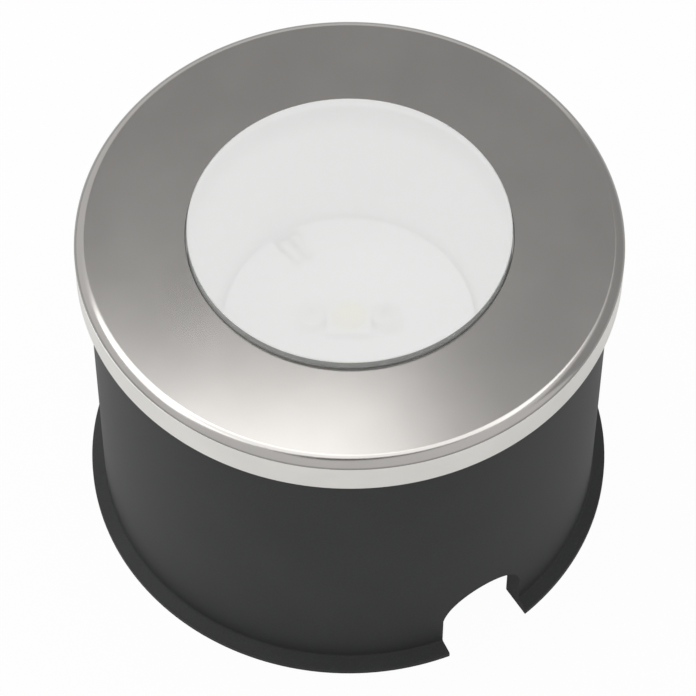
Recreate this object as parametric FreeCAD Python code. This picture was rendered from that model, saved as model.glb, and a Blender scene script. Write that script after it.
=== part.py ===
"""In-ground well light: a stainless bezel and lens unit that drops into a black mounting sleeve.

Millimetres. +Z is up, the origin is on the axis at the level of the sleeve's foot,
and the cable notch in the sleeve faces -Y. A turn is an angle about +Z from -Y towards +X.
"""

import FreeCAD
import Part

import math
import os

Vector = FreeCAD.Vector
UP = Vector(0, 0, 1)
FULL_TURN = 360.0
QUARTER_TURN = 90.0
HEXAGON_SIDES = 6

# Mounting sleeve: an open tube with a foot and one notch for the cable.
sleeve_height = 38.7
sleeve_wall = 2.4
sleeve_mouth_chamfer = 0.4
foot_width = 1.5
foot_edge_height = 0.8
foot_root_height = 1.5
foot_root_round = 0.4
foot_edge_round = 0.2
notch_width = 10.4
notch_side_height = 5.7
notch_crown_height = 9.95

# Rim: the stainless ring that sits on the sleeve, and the gasket under it.
rim_gasket_thickness = 0.5
rim_gasket_inset = 0.4
rim_width = 4.98
rim_height = 3.7
rim_top_round = 0.05
rim_bottom_round = 0.15
rim_press_gap = 0.02

# Bezel cap: a thin plate with a crowned edge and a threaded skirt, screwed into the housing.
cap_rim_step = 0.02
cap_plate_thickness = 0.95
cap_crown_width = 1.3
cap_lip_height = 0.14
cap_seam = 0.05
window_edge_round = 0.1
skirt_wall = 2.4
thread_length = 4.5
thread_gap = 0.06
skirt_end_chamfer = 0.3

# Glass: a stepped disc whose boss stands a little proud of the cap.
glass_proud = 0.9
glass_thickness = 8.0
glass_flange_width = 3.05
glass_edge_chamfer = 0.15
glass_window_gap = 0.1
glass_skirt_gap = 0.3
cap_gasket_thickness = 0.65
seat_gasket_thickness = 0.8
gasket_gap = 0.3

# Reflector cup: a white cone hung from its flange under the glass.
reflector_spread = 3.0
reflector_window_inset = 0.45
reflector_wall = 1.2
reflector_flange_width = 2.4
reflector_flange_thickness = 1.0
reflector_seat_gap = 0.2
reflector_wall_gap = 0.3
reflector_floor_gap = 0.3
reflector_board_gap = 0.3

# Light source: a round white board with one emitter, held by two screws.
led_depth = 12.15
led_board_radius = 14.1
led_board_thickness = 1.6
thermal_pad_thickness = 0.3
thermal_pad_inset = 0.4
led_package_size = 5.0
led_package_height = 0.9
led_package_round = 0.4
phosphor_radius = 1.95
phosphor_depth = 0.3
phosphor_rise = 0.55
phosphor_gap = 0.02
led_screw_circle_radius = 4.2
led_screw_count = 2
led_screw_first_turn = 57.4

# Leads: two insulated wires from the light source down to the driver board.
lead_radius = 0.5
lead_spacing = 1.5
lead_slot_width = 3.3
lead_slot_depth = 2.5
lead_slot_round = 0.6
lead_passage_clearance = 0.3
lead_start_inset = 3.4
lead_bend_radius = 1.3
lead_lift = 0.05
lead_landing_inset = 0.7

# Housing: one turned body with a threaded mouth, cooling fins and a deck.
housing_sleeve_gap = 0.5
neck_wall = 1.44
neck_step = 0.9
deck_thickness = 2.55
blind_hole_end = 0.35
fin_count = 2
fin_thickness = 1.7
fin_root_wall = 1.6
upper_groove_land = 1.0
lower_rim_height = 3.5
housing_edge_chamfer = 0.4

# Grip rings: two rubber rings that hold the light in the sleeve.
grip_ring_thickness = 1.7
grip_ring_sleeve_gap = 0.05
grip_groove_gap = 0.05
upper_groove_drop = 5.0

# Driver pot: a cup under the deck that holds the driver and carries the cable gland.
pot_gasket_thickness = 0.5
pot_clearance_below = 0.8
pot_wall = 2.0
pot_floor_thickness = 1.5
pot_edge_round = 0.8
pot_flange_edge = 2.8
pot_flange_thickness = 2.2
pot_screw_reach = 5.2
pot_screw_count = 3
pot_screw_first_turn = 60.0

# Driver: a round board hung under the deck on spacers.
driver_board_gap = 0.4
driver_board_thickness = 1.2
spacer_height = 2.0
spacer_radius = 2.0
driver_screw_inset = 3.3
driver_screw_count = 3
driver_screw_first_turn = 90.0
inductor_radius = 3.2
inductor_height = 4.0
inductor_flange = 0.8
inductor_waist = 0.7
inductor_place = (-6.4, 0.0)
capacitor_radius = 2.6
capacitor_height = 6.5
capacitor_round = 0.5
capacitor_place = (4.9, 4.9)
rectifier_size = (4.6, 3.8, 1.8)
rectifier_place = (2.6, -0.9)
chip_size = (4.0, 4.9, 1.4)
chip_place = (-0.8, 4.2)
pin_width = 0.5
pin_reach = 0.9
pin_thickness = 0.25
pin_pitch = 1.27
terminal_size = (7.6, 5.6, 5.2)
terminal_place = (1.6, -7.2)
terminal_hole_radius = 1.1
terminal_hole_depth = 3.6

# Small screws.
small_thread_radius = 1.0
small_head_radius = 1.7
small_head_height = 1.2
pot_thread_radius = 1.5
pot_head_radius = 2.75
pot_head_height = 1.8
screw_gap = 0.03
screw_pass_gap = 0.15
head_round = 0.35
socket_width_ratio = 0.45
socket_depth_ratio = 0.55

# Cable gland: on the side of the pot, in line with the sleeve's notch.
cable_radius = 2.5
gland_height = 7.0
gland_boss_wall = 1.6
gland_boss_reach = 0.2
gland_shank_wall = 1.2
gland_washer_thickness = 0.5
gland_washer_width = 0.9
gland_nut_wall = 1.1
gland_hex_thickness = 1.8
gland_collar_length = 3.0
gland_collar_wall = 0.62
gland_cable_gap = 0.3
gland_seal_wall = 0.75
gland_seal_length = 3.9
gland_seal_gap = 0.03
gland_nut_gap = 0.2
gland_nut_length = 5.2
gland_nut_end = 1.1
gland_nut_round = 1.2

# How far a cutter reaches past the face that it opens.
cutter_reach = 1.0

# Points closer than this are one point, and an edge that leans less than this share is upright.
same_point = 1e-6
upright_share = 0.99

# Levels worked out from the sizes above.
rim_bottom = sleeve_height + rim_gasket_thickness
rim_top = rim_bottom + rim_height
plate_bottom = rim_top + cap_seam
plate_top = plate_bottom + cap_plate_thickness
glass_top = plate_top + glass_proud
glass_bottom = glass_top - glass_thickness
glass_step = plate_bottom - cap_gasket_thickness
seat_level = glass_bottom - seat_gasket_thickness
led_board_top = seat_level - led_depth
led_board_bottom = led_board_top - led_board_thickness
deck_top = led_board_bottom - thermal_pad_thickness
deck_bottom = deck_top - deck_thickness
pot_top = deck_bottom - pot_gasket_thickness
driver_board_top = deck_bottom - spacer_height
driver_board_bottom = driver_board_top - driver_board_thickness

# Radii worked out from the light board outwards, as far as the rim and the sleeve's foot.
reflector_bottom_radius = led_board_radius + reflector_board_gap
reflector_top_radius = reflector_bottom_radius + reflector_spread
reflector_flange_radius = reflector_top_radius + reflector_flange_width
reflector_bore = reflector_top_radius + reflector_wall + reflector_wall_gap
window_radius = reflector_top_radius + reflector_window_inset
glass_boss_radius = window_radius - glass_window_gap
glass_flange_radius = glass_boss_radius + glass_flange_width
skirt_bore = glass_flange_radius + glass_skirt_gap
thread_radius = skirt_bore + skirt_wall
thread_bore = thread_radius + thread_gap
neck_radius = thread_bore + neck_wall
rim_bore = neck_radius + rim_press_gap
rim_radius = rim_bore + rim_width
cap_radius = rim_radius - cap_rim_step
housing_radius = neck_radius + neck_step
fin_root_radius = reflector_bore + fin_root_wall
sleeve_bore = housing_radius + housing_sleeve_gap
sleeve_outer_radius = sleeve_bore + sleeve_wall
foot_radius = sleeve_outer_radius + foot_width
grip_ring_section = grip_ring_thickness / 2
grip_ring_radius = sleeve_bore - grip_ring_sleeve_gap - grip_ring_section
grip_groove_radius = grip_ring_radius - grip_ring_section - grip_groove_gap
grip_groove_half_width = grip_ring_section + grip_groove_gap

# Radii of the driver and its pot, worked out from where the leads come down.
lead_slot_end_y = led_board_radius - lead_slot_depth
lead_drop_y = lead_slot_end_y + lead_bend_radius
driver_board_radius = lead_drop_y + lead_landing_inset
driver_screw_circle_radius = driver_board_radius - driver_screw_inset
pot_bore = driver_board_radius + driver_board_gap
pot_outer_radius = pot_bore + pot_wall
pot_screw_circle_radius = pot_outer_radius + pot_screw_reach
pot_flange_radius = pot_screw_circle_radius + pot_flange_edge

# The gland, worked out from the cable outwards.
gland_face = pot_outer_radius + gland_boss_reach
gland_bore = cable_radius + gland_cable_gap
gland_thread_radius = gland_bore + gland_shank_wall
gland_boss_radius = gland_thread_radius + gland_boss_wall
gland_washer_radius = gland_thread_radius + gland_washer_width
gland_seal_radius = cable_radius + gland_seal_wall
gland_collar_radius = gland_seal_radius + gland_seal_gap + gland_collar_wall
gland_hex_width = 2 * (gland_collar_radius + gland_nut_wall)

# Levels of the grip rings, and the cooling gaps spread evenly between them.
upper_groove_level = rim_bottom - upper_groove_drop
lower_groove_level = deck_bottom + lower_rim_height / 2
fins_bottom = deck_bottom + lower_rim_height
fins_top = upper_groove_level - grip_groove_half_width - upper_groove_land
fin_gap = (fins_top - fins_bottom - fin_count * fin_thickness) / (fin_count + 1)


def at(radius, turn, z):
    """A point at a radius and a turn from -Y towards +X."""
    angle = math.radians(turn)
    return Vector(radius * math.sin(angle), -radius * math.cos(angle), z)


def ring_of_points(count, radius, first_turn, z):
    """Evenly spaced points on a circle about the axis."""
    return [at(radius, first_turn + FULL_TURN * i / count, z) for i in range(count)]


def rounded_outline(corners):
    """A closed wire in the XZ plane. A corner is (x, z) or (x, z, radius of its round)."""
    points = [Vector(c[0], 0, c[1]) for c in corners]
    radii = [c[2] if len(c) > 2 else 0.0 for c in corners]
    starts = []
    ends = []
    middles = []
    for i, corner in enumerate(points):
        back = (points[i - 1] - corner).normalize()
        ahead = (points[(i + 1) % len(points)] - corner).normalize()
        half = back.getAngle(ahead) / 2
        reach = radii[i] / math.tan(half) if radii[i] else 0.0
        starts.append(corner + back * reach)
        ends.append(corner + ahead * reach)
        to_centre = (back + ahead).normalize()
        depth = radii[i] / math.sin(half) - radii[i] if radii[i] else 0.0
        middles.append(corner + to_centre * depth)
    edges = []
    for i in range(len(points)):
        if radii[i]:
            edges.append(Part.Arc(starts[i], middles[i], ends[i]).toShape())
        following = starts[(i + 1) % len(points)]
        if ends[i].distanceToPoint(following) > same_point:
            edges.append(Part.LineSegment(ends[i], following).toShape())
    return Part.Wire(edges)


def turned(corners):
    """A solid of revolution about the Z axis."""
    face = Part.Face(rounded_outline(corners))
    return face.revolve(Vector(0, 0, 0), UP, FULL_TURN)


def disc(radius, bottom, top, x=0.0, y=0.0):
    """An upright cylinder between two levels."""
    return Part.makeCylinder(radius, top - bottom, Vector(x, y, bottom), UP)


def tube(inner, outer, bottom, top, x=0.0, y=0.0):
    """An upright tube between two levels."""
    return disc(outer, bottom, top, x, y).cut(disc(inner, bottom, top, x, y))


def across_corners(across_flats):
    """The width of a hexagon from corner to corner."""
    return across_flats / math.cos(math.pi / HEXAGON_SIDES)


def hexagon(across_flats, bottom, top):
    """An upright hexagonal prism on the Z axis with flats facing +Y and -Y."""
    corner_radius = across_corners(across_flats) / 2
    points = ring_of_points(HEXAGON_SIDES, corner_radius, QUARTER_TURN, bottom)
    face = Part.Face(Part.makePolygon(points + points[:1]))
    return face.extrude(Vector(0, 0, top - bottom))


def block(size, place, top):
    """A box hung under a level, centred on a place."""
    corner = Vector(place[0] - size[0] / 2, place[1] - size[1] / 2, top - size[2])
    return Part.makeBox(size[0], size[1], size[2], corner)


def onto_gland_axis(shape):
    """Turn a shape built up +Z so that it points along -Y from the pot's boss."""
    placed = shape.copy()
    placed.rotate(Vector(0, 0, 0), Vector(1, 0, 0), QUARTER_TURN)
    placed.translate(Vector(0, -gland_face, gland_height))
    return placed


# Mounting sleeve.


def notch_cutter():
    """The notch's outline, parallel sides under a round arch, carried out along -Y."""
    half = notch_width / 2
    below = -foot_edge_height
    left_foot = Vector(-half, 0, below)
    right_foot = Vector(half, 0, below)
    left_top = Vector(-half, 0, notch_side_height)
    right_top = Vector(half, 0, notch_side_height)
    crown = Vector(0, 0, notch_crown_height)
    edges = [
        Part.LineSegment(left_foot, right_foot).toShape(),
        Part.LineSegment(right_foot, right_top).toShape(),
        Part.Arc(right_top, crown, left_top).toShape(),
        Part.LineSegment(left_top, left_foot).toShape(),
    ]
    face = Part.Face(Part.Wire(edges))
    return face.extrude(Vector(0, -2 * foot_radius, 0))


def mounting_sleeve():
    body = turned([
        (sleeve_bore, 0),
        (foot_radius, 0),
        (foot_radius, foot_edge_height, foot_edge_round),
        (sleeve_outer_radius, foot_root_height, foot_root_round),
        (sleeve_outer_radius, sleeve_height),
        (sleeve_bore + sleeve_mouth_chamfer, sleeve_height),
        (sleeve_bore, sleeve_height - sleeve_mouth_chamfer),
    ])
    return body.cut(notch_cutter())


# Rim and bezel cap.


def rim_gasket():
    inner = sleeve_bore + sleeve_mouth_chamfer
    outer = sleeve_outer_radius - rim_gasket_inset
    return tube(inner, outer, sleeve_height, rim_bottom)


def rim_ring():
    return turned([
        (rim_bore, rim_bottom),
        (rim_radius, rim_bottom, rim_bottom_round),
        (rim_radius, rim_top, rim_top_round),
        (rim_bore, rim_top),
    ])


def cap_crown():
    """The corner and the radius of the arc that falls from the flat top to the lip."""
    slope = 2 * math.atan((cap_plate_thickness - cap_lip_height) / cap_crown_width)
    radius = cap_crown_width / math.sin(slope)
    start = cap_radius - cap_crown_width
    return start + radius * math.tan(slope / 2), radius


def bezel_cap():
    skirt_end = plate_bottom - cap_seam - thread_length
    crown_corner, crown_radius = cap_crown()
    return turned([
        (window_radius, plate_bottom),
        (window_radius, plate_top, window_edge_round),
        (crown_corner, plate_top, crown_radius),
        (cap_radius, plate_bottom + cap_lip_height),
        (cap_radius, plate_bottom),
        (thread_radius, plate_bottom),
        (thread_radius, skirt_end + skirt_end_chamfer),
        (thread_radius - skirt_end_chamfer, skirt_end),
        (skirt_bore, skirt_end),
        (skirt_bore, plate_bottom),
    ])


# Glass and its gaskets.


def glass_lens():
    return turned([
        (0, glass_bottom),
        (glass_flange_radius - glass_edge_chamfer, glass_bottom),
        (glass_flange_radius, glass_bottom + glass_edge_chamfer),
        (glass_flange_radius, glass_step),
        (glass_boss_radius, glass_step),
        (glass_boss_radius, glass_top - glass_edge_chamfer),
        (glass_boss_radius - glass_edge_chamfer, glass_top),
        (0, glass_top),
    ])


def cap_gasket():
    inner = glass_boss_radius + gasket_gap
    return tube(inner, glass_flange_radius, glass_step, plate_bottom)


def seat_gasket():
    inner = reflector_top_radius + gasket_gap
    return tube(inner, glass_flange_radius, seat_level, glass_bottom)


# Reflector.


def reflector_cup():
    bottom = deck_top + reflector_floor_gap
    flange_bottom = seat_level - reflector_flange_thickness
    return turned([
        (reflector_bottom_radius, bottom),
        (reflector_bottom_radius + reflector_wall, bottom),
        (reflector_top_radius + reflector_wall, flange_bottom),
        (reflector_flange_radius, flange_bottom),
        (reflector_flange_radius, seat_level),
        (reflector_top_radius, seat_level),
    ])


# Light source.


def lead_slot(bottom, top):
    """The slot at the board's edge, opposite the cable notch."""
    channel = Part.makeBox(
        lead_slot_width,
        led_board_radius,
        top - bottom,
        Vector(-lead_slot_width / 2, lead_slot_end_y, bottom),
    )
    inner_corners = [
        e for e in channel.Edges
        if abs(e.CenterOfMass.y - lead_slot_end_y) < same_point
        and abs(e.tangentAt(e.FirstParameter).z) > upright_share
    ]
    return channel.makeFillet(lead_slot_round, inner_corners)


def led_screw_places():
    return ring_of_points(led_screw_count, led_screw_circle_radius, led_screw_first_turn, 0)


def board_with_holes(radius, bottom, top):
    """A round plate with the lead slot and the two screw holes."""
    plate = disc(radius, bottom, top)
    plate = plate.cut(lead_slot(bottom, top))
    hole = small_thread_radius + screw_pass_gap
    for place in led_screw_places():
        plate = plate.cut(disc(hole, bottom, top, place.x, place.y))
    return plate


def led_board():
    return board_with_holes(led_board_radius, led_board_bottom, led_board_top)


def thermal_pad():
    radius = led_board_radius - thermal_pad_inset
    return board_with_holes(radius, deck_top, led_board_bottom)


def led_package():
    half = led_package_size / 2
    turn_to_screws = led_screw_first_turn - QUARTER_TURN
    body = Part.makeBox(
        led_package_size,
        led_package_size,
        led_package_height,
        Vector(-half, -half, led_board_top),
    )
    upright = [e for e in body.Edges if abs(e.tangentAt(e.FirstParameter).z) > upright_share]
    body = body.makeFillet(led_package_round, upright)
    top = led_board_top + led_package_height
    well = disc(phosphor_radius + phosphor_gap, top - phosphor_depth, top)
    body = body.cut(well)
    body.rotate(Vector(0, 0, 0), UP, turn_to_screws)
    return body


def led_phosphor():
    """A plug of phosphor with a low domed top, in the well of the package."""
    rim = led_board_top + led_package_height
    floor = rim - phosphor_depth
    apex = rim + phosphor_rise
    edge = Vector(phosphor_radius, 0, rim)
    sphere_radius = (phosphor_radius ** 2 + phosphor_rise ** 2) / (2 * phosphor_rise)
    centre_z = apex - sphere_radius
    half_angle = math.asin(phosphor_radius / sphere_radius) / 2
    middle = Vector(
        sphere_radius * math.sin(half_angle),
        0,
        centre_z + sphere_radius * math.cos(half_angle),
    )
    edges = [
        Part.LineSegment(Vector(0, 0, floor), Vector(phosphor_radius, 0, floor)).toShape(),
        Part.LineSegment(Vector(phosphor_radius, 0, floor), edge).toShape(),
        Part.Arc(edge, middle, Vector(0, 0, apex)).toShape(),
        Part.LineSegment(Vector(0, 0, apex), Vector(0, 0, floor)).toShape(),
    ]
    return Part.Face(Part.Wire(edges)).revolve(Vector(0, 0, 0), UP, FULL_TURN)


# Screws.


def screw(thread_radius_of_screw, head_radius, head_height, length):
    """A round-headed socket screw on the Z axis: head above zero, shank below."""
    profile = [
        (0, -length),
        (thread_radius_of_screw, -length),
        (thread_radius_of_screw, 0),
        (head_radius, 0),
        (head_radius, head_height, head_round),
        (0, head_height),
    ]
    body = turned(profile)
    socket_width = 2 * head_radius * socket_width_ratio
    socket_floor = head_height * (1 - socket_depth_ratio)
    return body.cut(hexagon(socket_width, socket_floor, head_height))


def placed_screw(shape, place, pointing_up):
    """Set a screw at a place, with its shank pointing up or down."""
    copy = shape.copy()
    if pointing_up:
        copy.rotate(Vector(0, 0, 0), Vector(1, 0, 0), 2 * QUARTER_TURN)
    copy.translate(place)
    return copy


def led_screws():
    shank = led_board_top - deck_bottom - blind_hole_end
    one = screw(small_thread_radius, small_head_radius, small_head_height, shank)
    lift = Vector(0, 0, led_board_top)
    return Part.makeCompound([placed_screw(one, p + lift, False) for p in led_screw_places()])


def driver_screw_places():
    return ring_of_points(
        driver_screw_count, driver_screw_circle_radius, driver_screw_first_turn, 0
    )


def driver_screws():
    shank = deck_top - driver_board_bottom - blind_hole_end
    one = screw(small_thread_radius, small_head_radius, small_head_height, shank)
    level = Vector(0, 0, driver_board_bottom)
    return Part.makeCompound([placed_screw(one, p + level, True) for p in driver_screw_places()])


def pot_screw_places():
    return ring_of_points(pot_screw_count, pot_screw_circle_radius, pot_screw_first_turn, 0)


def pot_screw_hole_top():
    return deck_bottom + lower_rim_height - blind_hole_end


def pot_screws():
    flange_bottom = pot_top - pot_flange_thickness
    shank = pot_screw_hole_top() - flange_bottom
    one = screw(pot_thread_radius, pot_head_radius, pot_head_height, shank)
    level = Vector(0, 0, flange_bottom)
    return Part.makeCompound([placed_screw(one, p + level, True) for p in pot_screw_places()])


# Leads.


def lead(side):
    """A wire that lies on the light board, bends down through its slot and ends on the driver board."""
    x = side * lead_spacing / 2
    level = led_board_top + lead_radius + lead_lift
    start = Vector(x, lead_drop_y - lead_start_inset, level)
    bend_start = Vector(x, lead_drop_y - lead_bend_radius, level)
    swing = lead_bend_radius * math.sin(math.radians(QUARTER_TURN / 2))
    bend_middle = Vector(
        x,
        lead_drop_y - lead_bend_radius + swing,
        level - lead_bend_radius + swing,
    )
    bend_end = Vector(x, lead_drop_y, level - lead_bend_radius)
    end = Vector(x, lead_drop_y, driver_board_top)
    path = Part.Wire([
        Part.LineSegment(start, bend_start).toShape(),
        Part.Arc(bend_start, bend_middle, bend_end).toShape(),
        Part.LineSegment(bend_end, end).toShape(),
    ])
    section = Part.Wire([Part.makeCircle(lead_radius, start, Vector(0, 1, 0))])
    return path.makePipeShell([section], True, False)


# Housing.


def light_housing():
    body = turned([
        (0, deck_bottom),
        (housing_radius - housing_edge_chamfer, deck_bottom),
        (housing_radius, deck_bottom + housing_edge_chamfer),
        (housing_radius, rim_bottom),
        (neck_radius, rim_bottom),
        (neck_radius, rim_top),
        (thread_bore, rim_top),
        (thread_bore, seat_level),
        (reflector_flange_radius + reflector_seat_gap, seat_level),
        (reflector_flange_radius + reflector_seat_gap, seat_level - reflector_flange_thickness),
        (reflector_bore, seat_level - reflector_flange_thickness),
        (reflector_bore, deck_top),
        (0, deck_top),
    ])
    outside = housing_radius + cutter_reach
    for level in (upper_groove_level, lower_groove_level):
        bottom = level - grip_groove_half_width
        top = level + grip_groove_half_width
        body = body.cut(tube(grip_groove_radius, outside, bottom, top))
    for i in range(fin_count + 1):
        bottom = fins_bottom + i * (fin_thickness + fin_gap)
        body = body.cut(tube(fin_root_radius, outside, bottom, bottom + fin_gap))
    return body.cut(housing_holes())


def housing_holes():
    """The tapped holes in the deck and the passage for the leads."""
    tapped = small_thread_radius + screw_gap
    cutters = [lead_passage(deck_bottom, deck_top)]
    for place in led_screw_places():
        cutters.append(disc(tapped, deck_bottom + blind_hole_end, deck_top, place.x, place.y))
    for place in driver_screw_places():
        cutters.append(disc(tapped, deck_bottom, deck_top - blind_hole_end, place.x, place.y))
    tapped = pot_thread_radius + screw_gap
    for place in pot_screw_places():
        cutters.append(disc(tapped, deck_bottom, pot_screw_hole_top(), place.x, place.y))
    return Part.makeCompound(cutters)


def lead_passage(bottom, top):
    """A slot for both leads side by side."""
    radius = lead_radius + lead_passage_clearance
    half = lead_spacing / 2
    middle = Part.makeBox(
        lead_spacing, 2 * radius, top - bottom, Vector(-half, lead_drop_y - radius, bottom)
    )
    ends = [disc(radius, bottom, top, side * half, lead_drop_y) for side in (-1, 1)]
    return middle.fuse(ends)


def grip_rings():
    rings = [
        Part.makeTorus(grip_ring_radius, grip_ring_section, Vector(0, 0, level), UP)
        for level in (upper_groove_level, lower_groove_level)
    ]
    return Part.makeCompound(rings)


# Driver pot.


def pot_flange_outline(bottom, top, inner):
    ring = tube(inner, pot_flange_radius, bottom, top)
    hole = pot_thread_radius + screw_pass_gap
    for place in pot_screw_places():
        ring = ring.cut(disc(hole, bottom, top, place.x, place.y))
    return ring


def driver_pot():
    flange_bottom = pot_top - pot_flange_thickness
    cup = turned([
        (0, pot_clearance_below),
        (pot_outer_radius, pot_clearance_below, pot_edge_round),
        (pot_outer_radius, pot_top),
        (0, pot_top),
    ])
    boss = onto_gland_axis(disc(gland_boss_radius, -gland_face, 0))
    cup = cup.fuse(boss)
    cup = cup.fuse(pot_flange_outline(flange_bottom, pot_top, pot_bore))
    cup = cup.cut(disc(pot_bore, pot_clearance_below + pot_floor_thickness, pot_top))
    gland_hole = disc(gland_thread_radius + screw_gap, -gland_face, cutter_reach)
    return cup.cut(onto_gland_axis(gland_hole)).removeSplitter()


def pot_gasket():
    return pot_flange_outline(pot_top, deck_bottom, pot_bore)


# Driver board and what it carries.


def driver_board():
    board = disc(driver_board_radius, driver_board_bottom, driver_board_top)
    hole = small_thread_radius + screw_pass_gap
    for place in driver_screw_places():
        board = board.cut(disc(hole, driver_board_bottom, driver_board_top, place.x, place.y))
    return board


def board_spacers():
    hole = small_thread_radius + screw_pass_gap
    spacers = [
        tube(hole, spacer_radius, driver_board_top, deck_bottom, place.x, place.y)
        for place in driver_screw_places()
    ]
    return Part.makeCompound(spacers)


def inductor():
    """A bobbin with a wound waist, standing under the board."""
    top = driver_board_bottom
    bottom = top - inductor_height
    waist = inductor_radius - inductor_waist
    bobbin = turned([
        (0, bottom),
        (inductor_radius, bottom),
        (inductor_radius, bottom + inductor_flange),
        (waist, bottom + inductor_flange),
        (waist, top - inductor_flange),
        (inductor_radius, top - inductor_flange),
        (inductor_radius, top),
        (0, top),
    ])
    bobbin.translate(Vector(inductor_place[0], inductor_place[1], 0))
    return bobbin


def capacitor():
    top = driver_board_bottom
    can = turned([
        (0, top - capacitor_height),
        (capacitor_radius, top - capacitor_height, capacitor_round),
        (capacitor_radius, top),
        (0, top),
    ])
    can.translate(Vector(capacitor_place[0], capacitor_place[1], 0))
    return can


def package_with_pins(size, place, pins_per_side):
    """A flat chip package with a row of pins along both of its long sides."""
    body = block(size, place, driver_board_bottom)
    first = -(pins_per_side - 1) * pin_pitch / 2
    for side in (-1, 1):
        for i in range(pins_per_side):
            pin_place = (
                place[0] + side * (size[0] / 2 + pin_reach / 2 - pin_thickness / 2),
                place[1] + first + i * pin_pitch,
            )
            pin_size = (pin_reach + pin_thickness, pin_width, pin_thickness)
            body = body.fuse(block(pin_size, pin_place, driver_board_bottom))
    return body.removeSplitter()


def rectifier():
    return package_with_pins(rectifier_size, rectifier_place, 2)


def driver_chip():
    return package_with_pins(chip_size, chip_place, 4)


def terminal_block():
    """A two-way block for the supply wires, with its wire holes towards the gland."""
    body = block(terminal_size, terminal_place, driver_board_bottom)
    front = terminal_place[1] - terminal_size[1] / 2
    middle_z = driver_board_bottom - terminal_size[2] / 2
    for side in (-1, 1):
        x = terminal_place[0] + side * terminal_size[0] / 4
        start = Vector(x, front, middle_z)
        body = body.cut(Part.makeCylinder(
            terminal_hole_radius, terminal_hole_depth, start, Vector(0, 1, 0)
        ))
    return body


# Cable gland, built up +Z from the pot's boss and then laid along -Y.


def gland_washer():
    ring = tube(
        gland_thread_radius + screw_gap, gland_washer_radius, 0, gland_washer_thickness
    )
    return onto_gland_axis(ring)


def gland_body():
    hex_start = gland_washer_thickness
    hex_end = hex_start + gland_hex_thickness
    collar_end = hex_end + gland_collar_length
    shank_length = pot_wall + gland_boss_reach
    body = disc(gland_thread_radius, -shank_length, hex_start)
    body = body.fuse(hexagon(gland_hex_width, hex_start, hex_end))
    body = body.fuse(disc(gland_collar_radius, hex_end, collar_end))
    body = body.cut(disc(gland_bore, -shank_length, collar_end))
    body = body.cut(disc(gland_seal_radius + gland_seal_gap, hex_end, collar_end))
    return onto_gland_axis(body.removeSplitter())


def gland_seal():
    start = gland_washer_thickness + gland_hex_thickness
    end = start + gland_seal_length
    return onto_gland_axis(tube(cable_radius, gland_seal_radius, start, end))


def gland_nut():
    start = gland_washer_thickness + gland_hex_thickness + gland_nut_gap
    end = start + gland_nut_length
    blank = hexagon(gland_hex_width, start, end)
    corner_radius = across_corners(gland_hex_width) / 2
    envelope = turned([
        (0, start),
        (corner_radius, start),
        (corner_radius, end, gland_nut_round),
        (0, end),
    ])
    nut = blank.common(envelope)
    chamber = end - gland_nut_end
    nut = nut.cut(disc(gland_collar_radius + screw_gap, start, chamber))
    nut = nut.cut(disc(gland_bore, start, end))
    return onto_gland_axis(nut)


NODES = {
    "mounting_sleeve": mounting_sleeve,
    "rim_gasket": rim_gasket,
    "rim_ring": rim_ring,
    "bezel_cap": bezel_cap,
    "glass_lens": glass_lens,
    "cap_gasket": cap_gasket,
    "seat_gasket": seat_gasket,
    "reflector_cup": reflector_cup,
    "led_board": led_board,
    "thermal_pad": thermal_pad,
    "led_package": led_package,
    "led_phosphor": led_phosphor,
    "led_screws": led_screws,
    "lead_positive": lambda: lead(1),
    "lead_negative": lambda: lead(-1),
    "light_housing": light_housing,
    "grip_rings": grip_rings,
    "driver_pot": driver_pot,
    "pot_gasket": pot_gasket,
    "pot_screws": pot_screws,
    "driver_board": driver_board,
    "board_spacers": board_spacers,
    "driver_screws": driver_screws,
    "inductor": inductor,
    "capacitor": capacitor,
    "rectifier": rectifier,
    "driver_chip": driver_chip,
    "terminal_block": terminal_block,
    "gland_washer": gland_washer,
    "gland_body": gland_body,
    "gland_seal": gland_seal,
    "gland_nut": gland_nut,
}


def main():
    os.makedirs("parts", exist_ok=True)
    for name, make in NODES.items():
        shape = make()
        if not shape.isValid() or not shape.Solids:
            raise RuntimeError(name + " is not a valid solid")
        shape.exportStep("parts/" + name + ".step")
        box = shape.BoundBox
        print("%-16s %d solid(s) %10.2f mm3  z %.2f to %.2f" % (
            name, len(shape.Solids), shape.Volume, box.ZMin, box.ZMax
        ))


main()
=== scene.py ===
"""In-ground well light: a satin steel cap and lens unit in a black mounting sleeve.

Metres, in the part's own frame: +Z is up and the axis of the light is the Z axis.
"""

import math

import bmesh
import bpy
from bpy.props import FloatProperty, FloatVectorProperty, IntProperty, PointerProperty
from mathutils import Matrix, Vector


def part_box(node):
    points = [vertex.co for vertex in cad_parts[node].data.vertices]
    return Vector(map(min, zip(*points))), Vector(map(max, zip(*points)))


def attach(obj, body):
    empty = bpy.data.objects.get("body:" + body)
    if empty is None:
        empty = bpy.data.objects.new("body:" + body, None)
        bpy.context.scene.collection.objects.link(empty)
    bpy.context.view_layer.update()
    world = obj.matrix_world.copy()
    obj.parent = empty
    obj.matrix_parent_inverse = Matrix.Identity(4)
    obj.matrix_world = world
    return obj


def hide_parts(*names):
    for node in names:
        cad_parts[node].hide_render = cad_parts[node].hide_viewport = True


bl_info = {
    "name": "Well light",
    "version": (1, 0, 0),
    "blender": (4, 5, 0),
    "location": "3D View > Sidebar > Well light",
    "description": "Dresses the packed well light and sets its studio stage",
    "category": "Object",
}

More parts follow.
